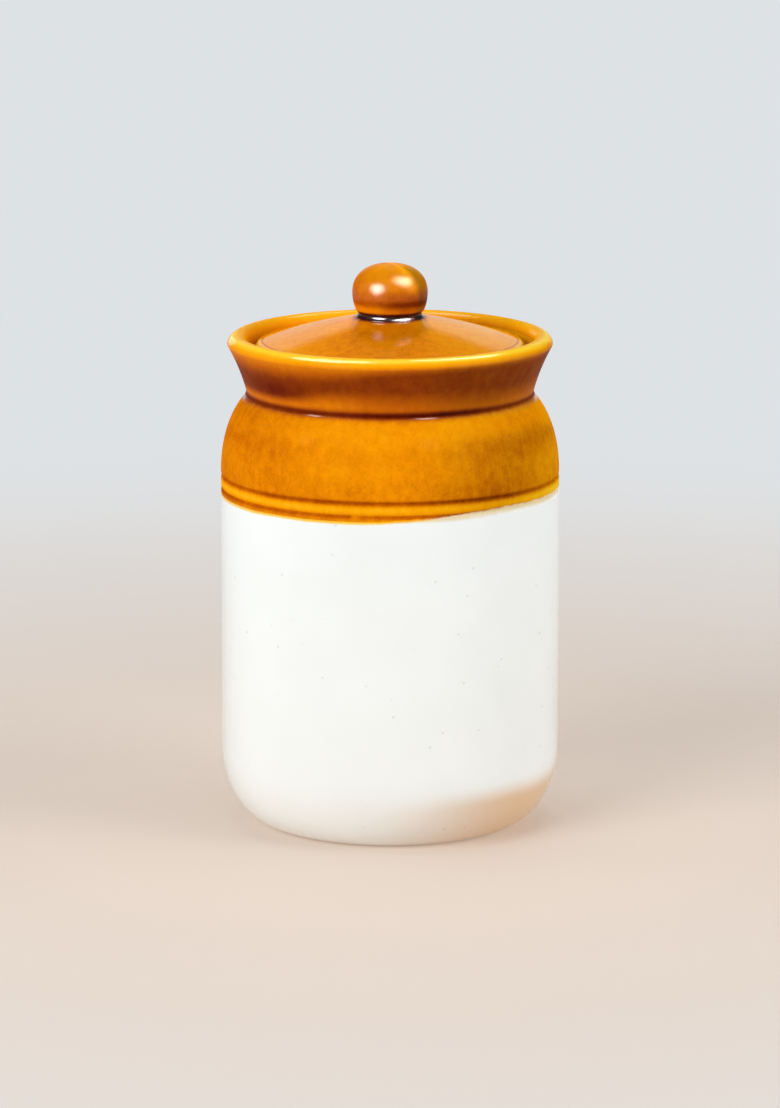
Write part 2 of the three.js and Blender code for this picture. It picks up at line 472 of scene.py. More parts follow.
def shoulder_drift(height):
    """The shoulder's drift in thickness: three slow waves round it, a thick ring, thin flanks."""
    waves = -SHOULDER_WAVE * np.cos(3.0 * ANGLES + math.radians(24.0))
    ring = SHOULDER_RING * pool(height, WAIST_HEIGHT - SHOULDER_RING_BELOW, SHOULDER_RING_SPREAD)
    low = 1.0 - smooth_step(height - SEAM_HEIGHT, *FLANK_FADE_ABOVE)
    flanks = FLANK_THINNING * low * smooth_step(np.abs(np.sin(ANGLES)), 0.60, 0.95)
    return waves + ring - flanks


def flare_belly(height):
    """The flare's thick belly of glaze and painted shade: it rises from the waist, falls off below the
    lip.

    It hangs lower on the left, is drawn together just left of the front, and has one dark run on the
    left. Down at the waist it is darker on the right as painted shade, and lighter on the left as
    painted light. Heights here are millimetres above the waist.
    """
    above = (height - WAIST_HEIGHT) / MM
    left = smooth_step(-np.sin(ANGLES), -0.1, 0.9)
    right = right_side(0.1, 0.6)
    drawn = pool(TURNS, -20.0, 16.0)
    rise = smooth_step(above, 2.0 + 2.2 * drawn, 12.0 - 5.0 * left + 2.2 * drawn)
    fall_start = 17.4 + 0.6 * right - 5.2 * left - 1.3 * drawn
    fall_end = 23.4 + 0.6 * right - 1.6 * left - 1.3 * drawn
    fall = smooth_step(above, fall_start, fall_end)
    run = FLARE_RUN * pool(TURNS, -50.0, 13.0) * pool(above, 8.5, 4.0)
    foot = 0.08 + 0.06 * right - 0.10 * left
    on_flare = smooth_step(above, -1.0, 1.0)
    return on_flare * (FLARE_BELLY * rise * (1.0 - fall) + run + foot * (1.0 - rise))


def right_easing(height):
    """How much thinner the glaze is on the right, in the waist's crease and on the clear band."""
    crease = pool(height, WAIST_HEIGHT + CREASE_POOL_LIFT, CREASE_EASING_SPREAD)
    in_crease = CREASE_EASING * crease * right_side(0.3, 0.9)
    return in_crease + BAND_EASING * clear_band(height) * right_side(0.1, 0.5)


def jar_glaze(height):
    """How much thicker the amber outside the jar is than its outline says, with the flare's painted
    shade and light.
    """
    on_shoulder = below_waist(height) * shoulder_drift(height)
    return groove_glaze(height) + on_shoulder + flare_belly(height) - right_easing(height)


def jar_smoke(height):
    """Painted shade on the right of the jar: less on the thin lip and on the clear band."""
    start, full = (LIP_TOP - below for below in LIP_CLEARING_BELOW)
    cleared = LIP_CLEARING * smooth_step(height, start, full) + BAND_CLEARING * clear_band(height)
    return (JAR_SMOKE_SHARE - cleared) * right_side(0.0, 0.70)


def lid_drift():
    """Painted reflection of the backdrop on the lid: its amber thinner, so paler, on the left and
    right than at the front and back.
    """
    return -LID_SIDE_THINNING * smooth_step(np.abs(np.sin(ANGLES)), 0.3, 0.9)


def lid_smoke():
    """Painted shade on the right of the lid."""
    return LID_SMOKE_SHARE * right_side(0.15, 0.75)


def knob_drift(height):
    """The knob's drift in thickness, by millimetres above its equator.

    It is thinner, so lighter, low on the left and in a streak high on the right, and thicker at the
    left edge. Low on the right it is thicker as painted shade.
    """
    above = (height - KNOB_BASE - KNOB_EQUATOR) / MM
    left = smooth_step(-np.sin(ANGLES), -0.1, 0.45)
    left_edge = smooth_step(-np.sin(ANGLES), 0.6, 0.9)
    right = right_side(-0.25, 0.6)
    high = smooth_step(above, -1.0, 5.0)
    ball = smooth_step(above, -7.6, -6.6)
    low_left = KNOB_LEFT_THINNING * left * ball * pool(above, -4.7, 2.2)
    streak = KNOB_STREAK_THINNING * high * pool(TURNS, 36.0, 9.0)
    thick = KNOB_EDGE_COAT * high * left_edge + KNOB_RIGHT_COAT * (1.0 - high) * ball * right
    return thick - low_left - streak


def knob_smoke(radius):
    """Painted shade on the right of the knob, fading behind and towards the pole."""
    side = turn_window(KNOB_SMOKE_RISE_TURNS, KNOB_SMOKE_FALL_TURNS)
    return KNOB_SMOKE_SHARE * side * smooth_step(radius / KNOB_RADIUS, 0.2, 0.7)


# The five turned outlines


def shoulder_radius(height):
    """The shoulder's upright oval, as oval_arc has it, by height, and straight below its start."""
    start = SEAM_HEIGHT + SHOULDER_START
    turn = math.radians(SHOULDER_TURN)
    reach = (BODY_RADIUS - WAIST_RADIUS) / (1.0 - math.cos(turn))
    rise = (WAIST_HEIGHT - start) / math.sin(turn)
    sine = np.clip((height - start) / rise, 0.0, 1.0)
    return BODY_RADIUS - reach * (1.0 - np.sqrt(1.0 - sine**2))


def flare_radius(height):
    """The collar's outside as radius by height: a line from waist to lip, drawn in by a parabola."""
    lip_foot = lip_arcs()[0][0]
    t = (height - WAIST_HEIGHT) / (lip_foot[1] - WAIST_HEIGHT)
    return WAIST_RADIUS + (lip_foot[0] - WAIST_RADIUS) * t - 4.0 * FLARE_HOLLOW * t * (1.0 - t)


def upper_radius(height):
    """Shoulder and flare together: the larger of the two, rounded near where they cross."""
    shoulder = shoulder_radius(height)
    flare = flare_radius(np.maximum(height, WAIST_HEIGHT - 2.0 * CREASE_REACH))
    rounding = CREASE_ROUND * (1.0 - smooth_step(np.abs(shoulder - flare), 0.0, CREASE_REACH))
    return (shoulder + flare + np.sqrt((shoulder - flare) ** 2 + rounding**2)) / 2.0


def lower_body_outline():
    """Foot recess, foot ring, heel, wall, seam, and the inside down to the floor."""
    outline = Outline()
    foot_outer = BODY_RADIUS - HEEL_REACH
    foot_inner = foot_outer - FOOT_WIDTH
    recess_edge = (foot_inner - FOOT_RECESS, FOOT_RECESS)
    inner_heel_top = (INNER_RADIUS, FLOOR_TOP + INNER_HEEL_RISE)
    inner_heel_foot = (INNER_RADIUS - INNER_HEEL_REACH, FLOOR_TOP)
    heel = oval_arc((BODY_RADIUS, HEEL_RISE), (foot_outer, 0.0), 90.0, 48)[::-1]
    outline.add(straight((0.0, FOOT_RECESS), recess_edge, 6), INSIDE_COAT)
    outline.add(straight(recess_edge, (foot_inner, 0.0)), INSIDE_COAT, bare=1.0)
    outline.add(straight((foot_inner, 0.0), (foot_outer, 0.0), 3), INSIDE_COAT, bare=1.0)
    outline.add(heel, INSIDE_COAT, bare=1.0 - smooth_step(heel[:, 1], *FOOT_GLAZE_LINE))
    outline.add(straight((BODY_RADIUS, HEEL_RISE), (BODY_RADIUS, SEAM_HEIGHT), 36), WALL_COAT)
    for stretch in (
        straight((BODY_RADIUS, SEAM_HEIGHT), (INNER_RADIUS, SEAM_HEIGHT), 2),
        straight((INNER_RADIUS, SEAM_HEIGHT), inner_heel_top, 20),
        oval_arc(inner_heel_top, inner_heel_foot, 90.0, 30),
        straight(inner_heel_foot, (0.0, FLOOR_TOP), 8),
    ):
        outline.add(stretch, INSIDE_COAT, inner=1.0)
    return outline


def shoulder_outline():
    """The grooved band, the curve up to half of the waist's crease, and the inside down again."""
    outline = Outline()
    curve_start = SEAM_HEIGHT + SHOULDER_START
    curve_rows = curve_start + GROOVED_ROWS_PAST
    crease_start = WAIST_HEIGHT - CREASE_FINE_ROWS
    grooved = np.linspace(SEAM_HEIGHT, curve_rows, 96)
    curved = np.linspace(curve_rows, crease_start, 60)
    creased = np.linspace(crease_start, WAIST_HEIGHT, 34)
    height = np.unique(np.concatenate([[SEAM_HEIGHT + CORNER_MARGIN], grooved, curved, creased]))
    thin_start = SEAM_HEIGHT + SHOULDER_THINNING_MARGIN
    thinning = smooth_step(height, thin_start, WAIST_HEIGHT - SHOULDER_THINNING_MARGIN)
    crease = pool(height, WAIST_HEIGHT + CREASE_POOL_LIFT, SHOULDER_POOL_SPREAD)
    coat = SHOULDER_COAT - SHOULDER_THINNING * thinning + SHOULDER_CREASE_COAT * crease
    wet = smooth_step(height, WAIST_HEIGHT - WET_START_BELOW, WAIST_HEIGHT - WET_FULL_BELOW)
    shine = SHOULDER_SHINE + (CREASE_SHINE - SHOULDER_SHINE) * wet
    outline.add(np.column_stack([upper_radius(height), height]), coat, shine=shine)
    top = (upper_radius(np.array([WAIST_HEIGHT]))[0], WAIST_HEIGHT)
    inner_top = (THROAT_RADIUS, WAIST_HEIGHT)
    inner_start = (INNER_RADIUS, curve_start)
    inner_foot = (INNER_RADIUS, SEAM_HEIGHT)
    for stretch in (
        straight(top, inner_top),
        oval_arc(inner_start, inner_top, INNER_SHOULDER_TURN, 30)[::-1],
        straight(inner_start, inner_foot, 3),
        straight(inner_foot, (BODY_RADIUS, SEAM_HEIGHT), 2)[:-1],
    ):
        outline.add(stretch, INSIDE_COAT, inner=1.0)
    return outline


def lip_arcs():
    """The lip from the flare's top to the bore.

    It has a tight outer corner, a wider arc to the crest, and an oval inside.
    """
    first, corner, crest = LIP_TURNS
    gap = LIP_TOP_ROUND - LIP_CORNER_ROUND
    lean = math.radians(corner)
    corner_height = LIP_TOP - LIP_TOP_ROUND + gap * math.sin(lean)
    corner_centre = (LIP_RADIUS - LIP_CORNER_ROUND, corner_height)
    top_centre = (corner_centre[0] - gap * math.cos(lean), LIP_TOP - LIP_TOP_ROUND)
    outer = round_arc(corner_centre, LIP_CORNER_ROUND, first, corner, 14)
    top = round_arc(top_centre, LIP_TOP_ROUND, corner, crest, 22)
    bore_top = (LIP_RADIUS - LIP_WIDTH, LIP_TOP - LIP_INNER_RISE)
    inner = oval_arc(bore_top, (top_centre[0], LIP_TOP), 90.0, 22)[::-1]
    return outer, top, inner


def collar_outline():
    """The flare, the lip, the bore, the lid's seat and the throat."""
    outline = Outline()
    outer, top, inner = lip_arcs()
    bore = LIP_RADIUS - LIP_WIDTH
    seat = LIP_TOP - SEAT_DEPTH
    crease_end = WAIST_HEIGHT + CREASE_FINE_ROWS
    creased = np.linspace(WAIST_HEIGHT, crease_end, 34)
    flared = np.linspace(crease_end, outer[0, 1] - LIP_ROW_GAP, 36)
    height = np.unique(np.concatenate([creased, flared]))
    crease = pool(height, WAIST_HEIGHT + CREASE_POOL_LIFT, FLARE_POOL_SPREAD)
    flare_coat = FLARE_COAT + FLARE_CREASE_COAT * crease
    outline.add(np.column_stack([upper_radius(height), height]), flare_coat, shine=FLARE_SHINE)
    outer_coat = np.linspace(FLARE_COAT, LIP_COAT, len(outer))
    outline.add(outer, outer_coat, shine=np.linspace(FLARE_SHINE, LIP_SHINE, len(outer)))
    turn = np.linspace(LIP_TURNS[1], LIP_TURNS[2], len(top))
    top_coat = LIP_COAT - LIP_THINNING * pool(turn, LIP_THIN_TURN, LIP_THIN_SPREAD)
    outline.add(top, top_coat, shine=LIP_SHINE)
    outline.add(inner, np.linspace(*LIP_INNER_COATS, len(inner)), shine=FLARE_SHINE)
    wall = straight((bore, inner[-1, 1]), (bore, seat + SEAT_FILLET), 8)
    outline.add(wall, np.linspace(*BORE_COATS, len(wall)), inner=1.0, shine=FLARE_SHINE)
    corner = (bore - SEAT_FILLET, seat + SEAT_FILLET)
    fillet = round_arc(corner, SEAT_FILLET, 0.0, -90.0, 10)
    outline.add(fillet, SEAT_CORNER_COAT, inner=1.0, shine=FLARE_SHINE)
    edge = (THROAT_RADIUS + SEAT_FILLET, seat - SEAT_FILLET)
    outline.add(straight((corner[0], seat), (edge[0], seat), 6), SEAT_COAT, inner=1.0, bare=SEAT_BARE)
    outline.add(round_arc(edge, SEAT_FILLET, 90.0, 180.0, 10), THROAT_EDGE_COAT, inner=1.0)
    throat_foot = (THROAT_RADIUS, WAIST_HEIGHT)
    outline.add(straight((THROAT_RADIUS, edge[1]), throat_foot, 12), THROAT_COAT, inner=1.0)
    flare_foot = (upper_radius(height[:1])[0], WAIST_HEIGHT)
    outline.add(straight(throat_foot, flare_foot)[:-1], INSIDE_COAT, inner=1.0)
    return outline


def lid_outline():
    """Underside, flange, bearing face, round edge, and the dome up to the flat under the knob."""
    outline = Outline()
    seat = LIP_TOP - SEAT_DEPTH + SEATING_GAP
    flange_inner = FLANGE_RADIUS - FLANGE_THICKNESS
    round_height = FLANGE_BOTTOM + FLANGE_ROUND
    under = bowed((0.0, KNOB_BASE - LID_THICKNESS), (flange_inner, seat), -UNDERSIDE_BULGE, 32)
    outline.add(under, UNDERSIDE_COAT, shine=LID_SHINE)
    flange_side = straight((flange_inner, seat), (flange_inner, round_height), 5)
    outline.add(flange_side, UNDERSIDE_COAT, shine=LID_SHINE)
    edge_centre = (LID_RADIUS - LID_EDGE_ROUND, seat + LID_EDGE_ROUND)
    for stretch in (
        round_arc((flange_inner + FLANGE_ROUND, round_height), FLANGE_ROUND, 180.0, 270.0, 8),
        round_arc((FLANGE_RADIUS - FLANGE_ROUND, round_height), FLANGE_ROUND, 270.0, 360.0, 8),
        straight((FLANGE_RADIUS, round_height), (FLANGE_RADIUS, seat), 5),
        straight((FLANGE_RADIUS, seat), (edge_centre[0], seat), 3),
    ):
        outline.add(stretch, FLANGE_COAT, bare=1.0)
    edge = round_arc(edge_centre, LID_EDGE_ROUND, -90.0, LID_EDGE_TURN, 30)
    glazed = smooth_step(edge[:, 1] - seat, *LID_GLAZE_LINE)
    outline.add(edge, LID_EDGE_COAT, bare=1.0 - glazed, shine=LID_SHINE * glazed)
    dome = bowed(edge[-1], (KNOB_FOOT_RADIUS, KNOB_BASE), DOME_BULGE, 76, gather=DOME_GATHER)
    thin_edge = pool(dome[:, 0], LID_RADIUS, DOME_EDGE_SPREAD)
    edge_line = pool(dome[:, 0], LID_RADIUS - LID_LINE_INSET, LID_LINE_SPREAD)
    neck_ring = pool(dome[:, 0], KNOB_FOOT_RADIUS, NECK_RING_SPREAD)
    rings = LID_LINE_COAT * edge_line + NECK_RING_COAT * neck_ring
    outline.add(dome, DOME_COAT - DOME_EDGE_THINNING * thin_edge + rings, shine=LID_SHINE)
    outline.add(straight(dome[-1], (0.0, KNOB_BASE), 3), LID_FLAT_COAT, shine=LID_SHINE)
    return outline


def knob_outline():
    """Flat base, hollow neck, and the ball's lower and upper parts up to its pole, darker below and
    lighter above by glaze thickness and painted light from above.
    """
    outline = Outline()
    base = KNOB_BASE + KNOB_SEATING_GAP
    neck_top = (KNOB_NECK_RADIUS, KNOB_BASE + KNOB_NECK_HEIGHT)
    equator = (KNOB_RADIUS, KNOB_BASE + KNOB_EQUATOR)
    neck = bowed((KNOB_FOOT_RADIUS, base), neck_top, -KNOB_NECK_HOLLOW, 20)
    lower = oval_arc(equator, neck_top, KNOB_LOWER_TURN, 26)[::-1]
    upper = full_arc(equator, (0.0, KNOB_TOP), KNOB_FULLNESS, 50)
    flat = straight((0.0, base), (KNOB_FOOT_RADIUS, base), 3)
    outline.add(flat, KNOB_BASE_COAT, shine=NECK_SHINE)
    neck_rim = smooth_step(neck[:, 1], neck_top[1] - NECK_RIM_HEIGHT, neck_top[1])
    neck_shine = NECK_SHINE + (KNOB_SHINE - NECK_SHINE) * neck_rim
    outline.add(neck, NECK_COAT - NECK_RIM_THINNING * neck_rim, shine=neck_shine)
    above_neck = lower[:, 1] - neck_top[1]
    belly = BELLY_COAT * pool(above_neck, BELLY_HEIGHT, BELLY_SPREAD)
    thin_rim = BELLY_RIM_THINNING * pool(above_neck, BELLY_RIM_HEIGHT, BELLY_RIM_SPREAD)
    outline.add(lower, KNOB_COAT + belly - thin_rim, shine=KNOB_SHINE)
    above_equator = upper[:, 1] - equator[1]
    thinning = KNOB_THINNING * smooth_step(above_equator, *KNOB_THINNING_HEIGHTS)
    top_share = smooth_step(above_equator, KNOB_TOP_THINNING_START, KNOB_TOP - equator[1])
    outline.add(upper, KNOB_COAT - thinning - KNOB_TOP_THINNING * top_share, shine=KNOB_SHINE)
    return outline


# Shader maths


class Signal:
    """A value in a material: arithmetic on it adds Math nodes."""

    def __init__(self, finish, socket):
        self.finish = finish
        self.socket = socket

    def __add__(self, other):
        return self.finish.math("ADD", self, other)

    def __sub__(self, other):
        return self.finish.math("SUBTRACT", self, other)

    def __rsub__(self, other):
        return self.finish.math("SUBTRACT", other, self)

    def __mul__(self, other):
        return self.finish.math("MULTIPLY", self, other)

    def __truediv__(self, other):
        return self.finish.math("DIVIDE", self, other)

    __radd__ = __add__
    __rmul__ = __mul__

    def rise(self, low, high):
        """0 below low, 1 above high, smooth between."""
        sockets = {"Value": self, "From Min": low, "From Max": high}
        return self.finish.node("ShaderNodeMapRange", {"interpolation_type": "SMOOTHSTEP"}, sockets)


class Finish:
    """A material, or the world, under construction."""

    def __init__(self, owner):
        self.owner = owner
        owner.use_nodes = True
        self.tree = owner.node_tree
        self.tree.nodes.clear()

    def node(self, kind, settings=None, sockets=None, output=0):
        """Adds a node: its settings first, then its socket values or links.

        A setting named stops is a colour ramp's list of places and colours.
        """
        node = self.tree.nodes.new(kind)
        for name, value in (settings or {}).items():
            if name == "stops":
                self.set_stops(node.color_ramp, value)
            else:
                setattr(node, name, value)
        for name, value in (sockets or {}).items():
            if isinstance(value, Signal):
                self.tree.links.new(value.socket, node.inputs[name])
            else:
                node.inputs[name].default_value = value
        return Signal(self, node.outputs[output]) if len(node.outputs) else node

    @staticmethod
    def set_stops(ramp, stops):
        """Gives a colour ramp its stops, lowest first."""
        for _ in stops[2:]:
            ramp.elements.new(0.5)
        for element, (place, colour) in zip(ramp.elements, stops):
            element.position = place
            element.color = colour

    def math(self, operation, first, second):
        """One Math node."""
        return self.node("ShaderNodeMath", {"operation": operation}, {0: first, 1: second})

    def mix(self, share, first, second, blend="MIX"):
        """A colour between two colours, or the first one multiplied by the second."""
        settings = {"data_type": "RGBA", "blend_type": blend}
        return self.node("ShaderNodeMix", settings, {0: share, 6: first, 7: second}, output=2)

    def attribute(self, name):
        """A value kept at the points of the mesh."""
        return self.node("ShaderNodeAttribute", {"attribute_name": name}, output="Fac")

    def place(self, stretch=(1.0, 1.0, 1.0)):
        """The piece's own coordinates, multiplied along each axis."""
        own = self.node("ShaderNodeTexCoord", output="Object")
        return self.node("ShaderNodeMapping", sockets={"Vector": own, "Scale": stretch})

    def noise(self, size, detail=2.0, stretch=(1.0, 1.0, 1.0)):
        """Soft noise with features of about the given size, 0 to 1 about 0.5."""
        sockets = {"Vector": self.place(stretch), "Scale": 1.0 / size, "Detail": detail}
        return self.node("ShaderNodeTexNoise", {"normalize": True}, sockets)

    def specks(self, spacing, radius):
        """Sparse round specks: 1 within a radius of points that lie about a spacing apart in space."""
        sockets = {"Vector": self.place(), "Scale": 1.0 / spacing}
        distance = self.node("ShaderNodeTexVoronoi", {"feature": "F1"}, sockets, output="Distance")
        return 1.0 - distance.rise(0.5 * radius / spacing, radius / spacing)

    def surface(self, colour, roughness, height, relief, specular, shine=0.0, blur=0.0):
        """A Principled surface under a clear coat: shine is the coat's weight, blur its roughness."""
        bump = self.node("ShaderNodeBump", sockets={"Height": height, "Distance": relief})
        sockets = {"Base Color": colour, "Roughness": roughness, "Normal": bump}
        sockets.update({"Specular IOR Level": specular, "Coat Weight": shine, "Coat Roughness": blur})
        return self.node("ShaderNodeBsdfPrincipled", sockets=sockets)

    def done(self, shader):
        """Makes a shader the material's surface."""
        self.node("ShaderNodeOutputMaterial", sockets={"Surface": shader})
        return self.owner


def display(red, green, blue):
    """A colour given as it shows on a screen, 0 to 255, as the linear light that the shader takes."""
    share = np.array([red, green, blue]) / 255.0
    linear = np.where(share <= 0.04045, share / 12.92, ((share + 0.055) / 1.055) ** 2.4)
    return (*linear.tolist(), 1.0)


# Glaze colours, as they show
AMBER_BY_THICKNESS = (
    (0.00, display(255, 232, 130)),
    (0.16, display(253, 204, 44)),
    (0.36, display(248, 164, 8)),
    (0.50, display(234, 138, 3)),
    (0.66, display(192, 94, 2)),
    (0.82, display(130, 49, 1)),
    (0.92, display(98, 22, 1)),
    (1.00, display(30, 8, 5)),
)
MILK_WHITE = display(244, 247, 245)
MILK_SHADE = display(237, 240, 237)
THIN_HONEY = display(255, 222, 128)
WASH_BEIGE = display(226, 203, 150)
SPECK_BROWN = display(150, 132, 112)
IRON_BROWN = display(120, 58, 6)
PIT_GREY = display(196, 197, 192)
BARE_CLAY = display(214, 199, 172)
BARE_CLAY_DARK = display(184, 164, 134)
# Painted warm reflection of the floor and painted shade on the heel
HEEL_WARM = display(218, 170, 112)

# What the painted shade on the right multiplies the amber by
JAR_SMOKE = (0.55, 1.0, 0.80, 1.0)
KNOB_SMOKE = (0.54, 0.68, 0.60, 1.0)

# Unevenness of the amber: each noise's size, detail and share in the thickness
AMBER_MOTTLES = ((22.0 * MM, 1.0, 0.11), (4.0 * MM, 3.0, 0.13), (0.9 * MM, 2.0, 0.12))
STREAK_SIZE = 2.6 * MM
STREAK_STRETCH = (1.0, 1.0, 0.16)
STREAK_SHARE = 0.08

# Size of mottles, then specks and pits: spacing and radius in space, and share in the colour
WHITE_CLOUD_SIZE = 30.0 * MM
CLAY_MOTTLE_SIZE = 0.7 * MM
IRON_SPECKS = (6.0 * MM, 0.28 * MM)
IRON_SHARE = 0.45
WHITE_SPECKS = ((12.0 * MM, 0.34 * MM, 0.35), (5.0 * MM, 0.15 * MM, 0.3))
WHITE_PITS = (8.5 * MM, 0.6 * MM)
PIT_SHARE = 0.4

# The white glaze shines by its specular level, and the amber by a clear coat of some weight and blur
WHITE_SPECULAR = 0.45
AMBER_SPECULAR = 0.0
JAR_BLUR = 0.14
LID_BLUR = 0.03
KNOB_BLUR = 0.20
GLAZE_ROUGHNESS = 0.14
ROUGHNESS_DRIFT = 0.06
WASH_ROUGHNESS = 0.2
CLAY_ROUGHNESS = 0.80

# Relief: its full height, and the share of it in peel, clay grain, amber layer, wash and pits
RELIEF = 0.12 * MM
PEEL_SIZE = 3.2 * MM
PEEL_SHARE = 0.16
CLAY_GRAIN_SIZE = 0.35 * MM
CLAY_GRAIN_SHARE = 0.5
AMBER_RELIEF = 0.7
WASH_RELIEF = 0.25
PIT_RELIEF = 0.9

# The amber's edge: its grain and raggedness, then millimetres of wash and of the edge's band
EDGE_GRAIN_SIZE = 0.6 * MM
EDGE_RAG_SIZE = 3.0 * MM
WASHED_SIDE_DEPTHS = (1.0, 2.4)
EDGE_BAND = 0.9
EDGE_THICKENING = 0.04
EDGE_THINNING = 0.24


def amber_colour(finish, coat, unevenness, smoke):
    """Amber by its thickness, mottled at three scales and streaked, with iron specks and painted shade
    on the right.
    """
    streaks = finish.noise(STREAK_SIZE, stretch=STREAK_STRETCH)
    uneven = (streaks - 0.5) * STREAK_SHARE
    for size, detail, share in AMBER_MOTTLES:
        uneven = uneven + (finish.noise(size, detail) - 0.5) * share
    thickness = coat + uneven * unevenness
    amber = finish.node("ShaderNodeValToRGB", {"stops": AMBER_BY_THICKNESS}, {"Fac": thickness})
    # Painted shade on the right darkens the amber
    smoked = finish.mix(finish.attribute("smoke"), amber, smoke, "MULTIPLY")
    return finish.mix(finish.specks(*IRON_SPECKS) * IRON_SHARE, smoked, IRON_BROWN)


def white_colour(finish, pits):
    """Milk-white glaze, softly clouded, with brown specks, grey pits, and the painted warm reflection
    and shade on the heel.
    """
    white = finish.mix(finish.noise(WHITE_CLOUD_SIZE), MILK_WHITE, MILK_SHADE)
    for spacing, radius, share in WHITE_SPECKS:
        white = finish.mix(finish.specks(spacing, radius) * share, white, SPECK_BROWN)
    white = finish.mix(pits * PIT_SHARE, white, PIT_GREY)
    # The painted warm reflection and shade on the heel
    return finish.mix(finish.attribute("flash"), white, HEEL_WARM)


def clay_colour(finish):
    """Bare fired clay, with sandy grain."""
    return finish.mix(finish.noise(CLAY_MOTTLE_SIZE, 3.0), BARE_CLAY_DARK, BARE_CLAY)


def peel_and_grain(finish, bare):
    """Relief of both finishes: the glaze's slow peel, and sandy grain on bare clay."""
    grain = finish.noise(CLAY_GRAIN_SIZE) * CLAY_GRAIN_SHARE
    return finish.noise(PEEL_SIZE, 1.0) * PEEL_SHARE + bare * grain


def dipped_finish(name, specular, unevenness):
    """The jar's finish: milk-white glaze, dipped in amber from above, with a thin wash below.

    The dip and wash attributes are millimetres above the amber's edge and of the wash's depth.
    Where the wash is deep the edge is ragged and thick; elsewhere it is soft and thin.
    """
    finish = Finish(bpy.data.materials.new(name))
    coat, bare, dip, wash = (finish.attribute(layer) for layer in ("coat", "bare", "dip", "wash"))
    washed_side = wash.rise(*WASHED_SIDE_DEPTHS)
    soft_side = 1.0 - washed_side
    grain = finish.noise(EDGE_GRAIN_SIZE)
    ragged = finish.noise(EDGE_RAG_SIZE, 3.0)
    rag_reach = 0.1 + 0.3 * wash
    grain_reach = 0.1 + 0.15 * wash
    above = dip + (ragged - 0.5) * rag_reach + (grain - 0.5) * grain_reach
    amber_begins_below = 0.45 + 0.45 * soft_side
    blend_width = 0.90 + 0.30 * soft_side
    amber_share = ((above + amber_begins_below) / blend_width).rise(0.0, 1.0)
    edge = 1.0 - above.rise(0.0, EDGE_BAND)
    edge_coat = coat + edge * (washed_side * EDGE_THICKENING - soft_side * EDGE_THINNING)
    amber = amber_colour(finish, edge_coat, unevenness, JAR_SMOKE)
    pits = finish.specks(*WHITE_PITS)
    washed = ((above + wash) / wash).rise(0.0, 0.7)
    wash_share = washed * (0.45 + 0.8 * grain)
    wash_colour = finish.mix(washed_side, THIN_HONEY, WASH_BEIGE)
    white = finish.mix(wash_share, white_colour(finish, pits), wash_colour)
    glazed = finish.mix(amber_share, white, amber)
    colour = finish.mix(bare, glazed, clay_colour(finish))
    thin_wash = washed * (1.0 - amber_share)
    uneven_rough = (ragged - 0.5) * ROUGHNESS_DRIFT + thin_wash * WASH_ROUGHNESS
    glaze_rough = GLAZE_ROUGHNESS + uneven_rough
    roughness = glaze_rough + bare * (CLAY_ROUGHNESS - glaze_rough)
    layers = AMBER_RELIEF * amber_share + WASH_RELIEF * washed - PIT_RELIEF * pits
    height = peel_and_grain(finish, bare) + layers
    shine = finish.attribute("shine")
    return finish.done(finish.surface(colour, roughness, height, RELIEF, specular, shine, JAR_BLUR))


def amber_finish(name, unevenness, blur, smoke):
    """The lid's and the knob's finish: amber, wiped to bare clay where the lid bears on its seat."""
    finish = Finish(bpy.data.materials.new(name))
    coat, bare = finish.attribute("coat"), finish.attribute("bare")
    # The amber carries painted shade on the right
    colour = finish.mix(bare, amber_colour(finish, coat, unevenness, smoke), clay_colour(finish))
    roughness = GLAZE_ROUGHNESS + bare * (CLAY_ROUGHNESS - GLAZE_ROUGHNESS)
    height = peel_and_grain(finish, bare)
    shine = finish.attribute("shine")
    return finish.done(finish.surface(colour, roughness, height, RELIEF, AMBER_SPECULAR, shine, blur))


# The pieces


def dress(piece, node, body, material):
    """Gives a piece its material and sets it in the place of its solid."""
    piece.data.materials.append(material)
    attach(piece, body)
    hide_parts(node)
    return piece


def jar_piece(name, node, outline, material, closed=False):
    """A turned piece of the jar, with wobble, grooves outside, and the glaze's measures."""
    column = outline.columns()
    radius, height = column["radius"], column["height"]
    outside = 1.0 - column["inner"]
    edge = np.where(column["inner"] > 0.5, INNER_DIP_HEIGHT, dip_edge())
    layers = {
        "coat": column["coat"] + outside * jar_glaze(height),
        "bare": column["bare"],
        "dip": (height - edge) / MM,
        "wash": outside * wash_depth() / MM,
        # Painted shade on the right
        "smoke": jar_smoke(height),
        # Painted warm reflection and shade on the heel
        "flash": outside * heel_flash(height),
        "shine": column["shine"],
    }
    cut = GROOVE_DEPTH * outside * groove_cut(height)
    turned = np.where(radius > 0.0, radius + thrown_wobble(height) - cut, 0.0)
    return dress(turned_mesh(name, turned, height, layers, closed), node, "jar", material)


def lid_piece(name, node, column, material, drift, smoke):
    """A turned piece of the lid from its outline's columns, with its glaze's drift, which holds
    painted reflection, light and shade, and its painted shade on the right.
    """
    layers = {
        "coat": column["coat"] + drift,
        "bare": column["bare"],
        "smoke": smoke,
        "shine": column["shine"],
    }
    piece = turned_mesh(name, column["radius"], column["height"], layers)
    return dress(piece, node, "lid", material)


